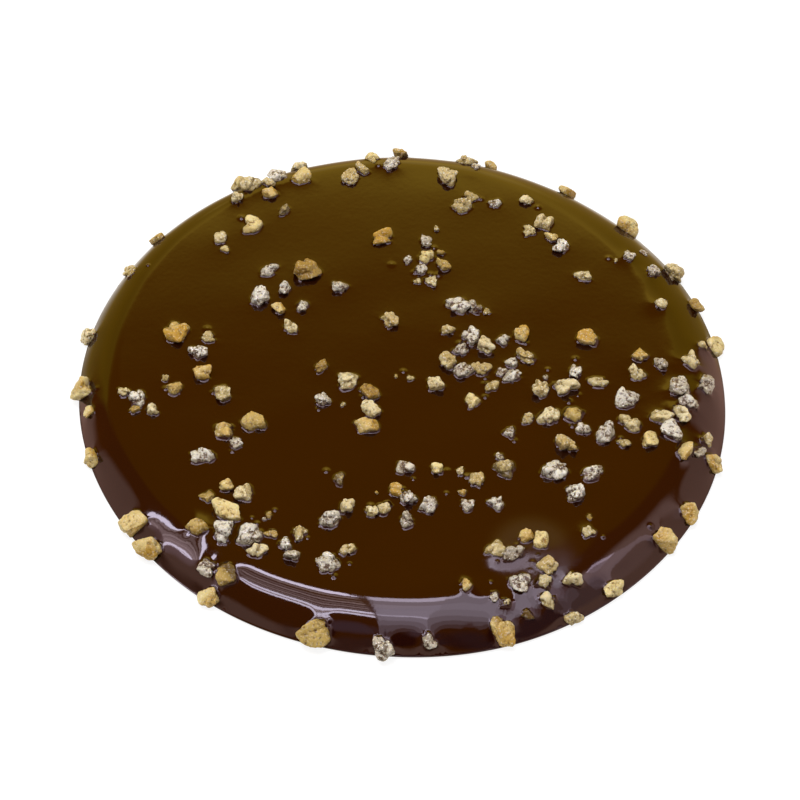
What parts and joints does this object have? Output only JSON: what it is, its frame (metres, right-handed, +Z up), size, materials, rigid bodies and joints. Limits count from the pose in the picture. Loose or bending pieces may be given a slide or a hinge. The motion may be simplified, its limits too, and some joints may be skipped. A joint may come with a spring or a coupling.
{
  "type": "chocolate almond tuile",
  "caption": "Round poured disc of glossy dark chocolate with a rounded shoulder and a flat underside, sprinkled with chopped roasted almonds.",
  "frame": {"origin": "centre of the flat underside", "axes": "+Z up through the disc, +Y to the back of the picture, +X to its right"},
  "size_m": [0.0712, 0.0711, 0.0051],
  "materials": {
    "chocolate": "set glossy, almost a mirror",
    "almond": "dry, porous and broken"
  },
  "bodies": {
    "root": {"tuile": "chocolate"}
  },
  "joints": []
}
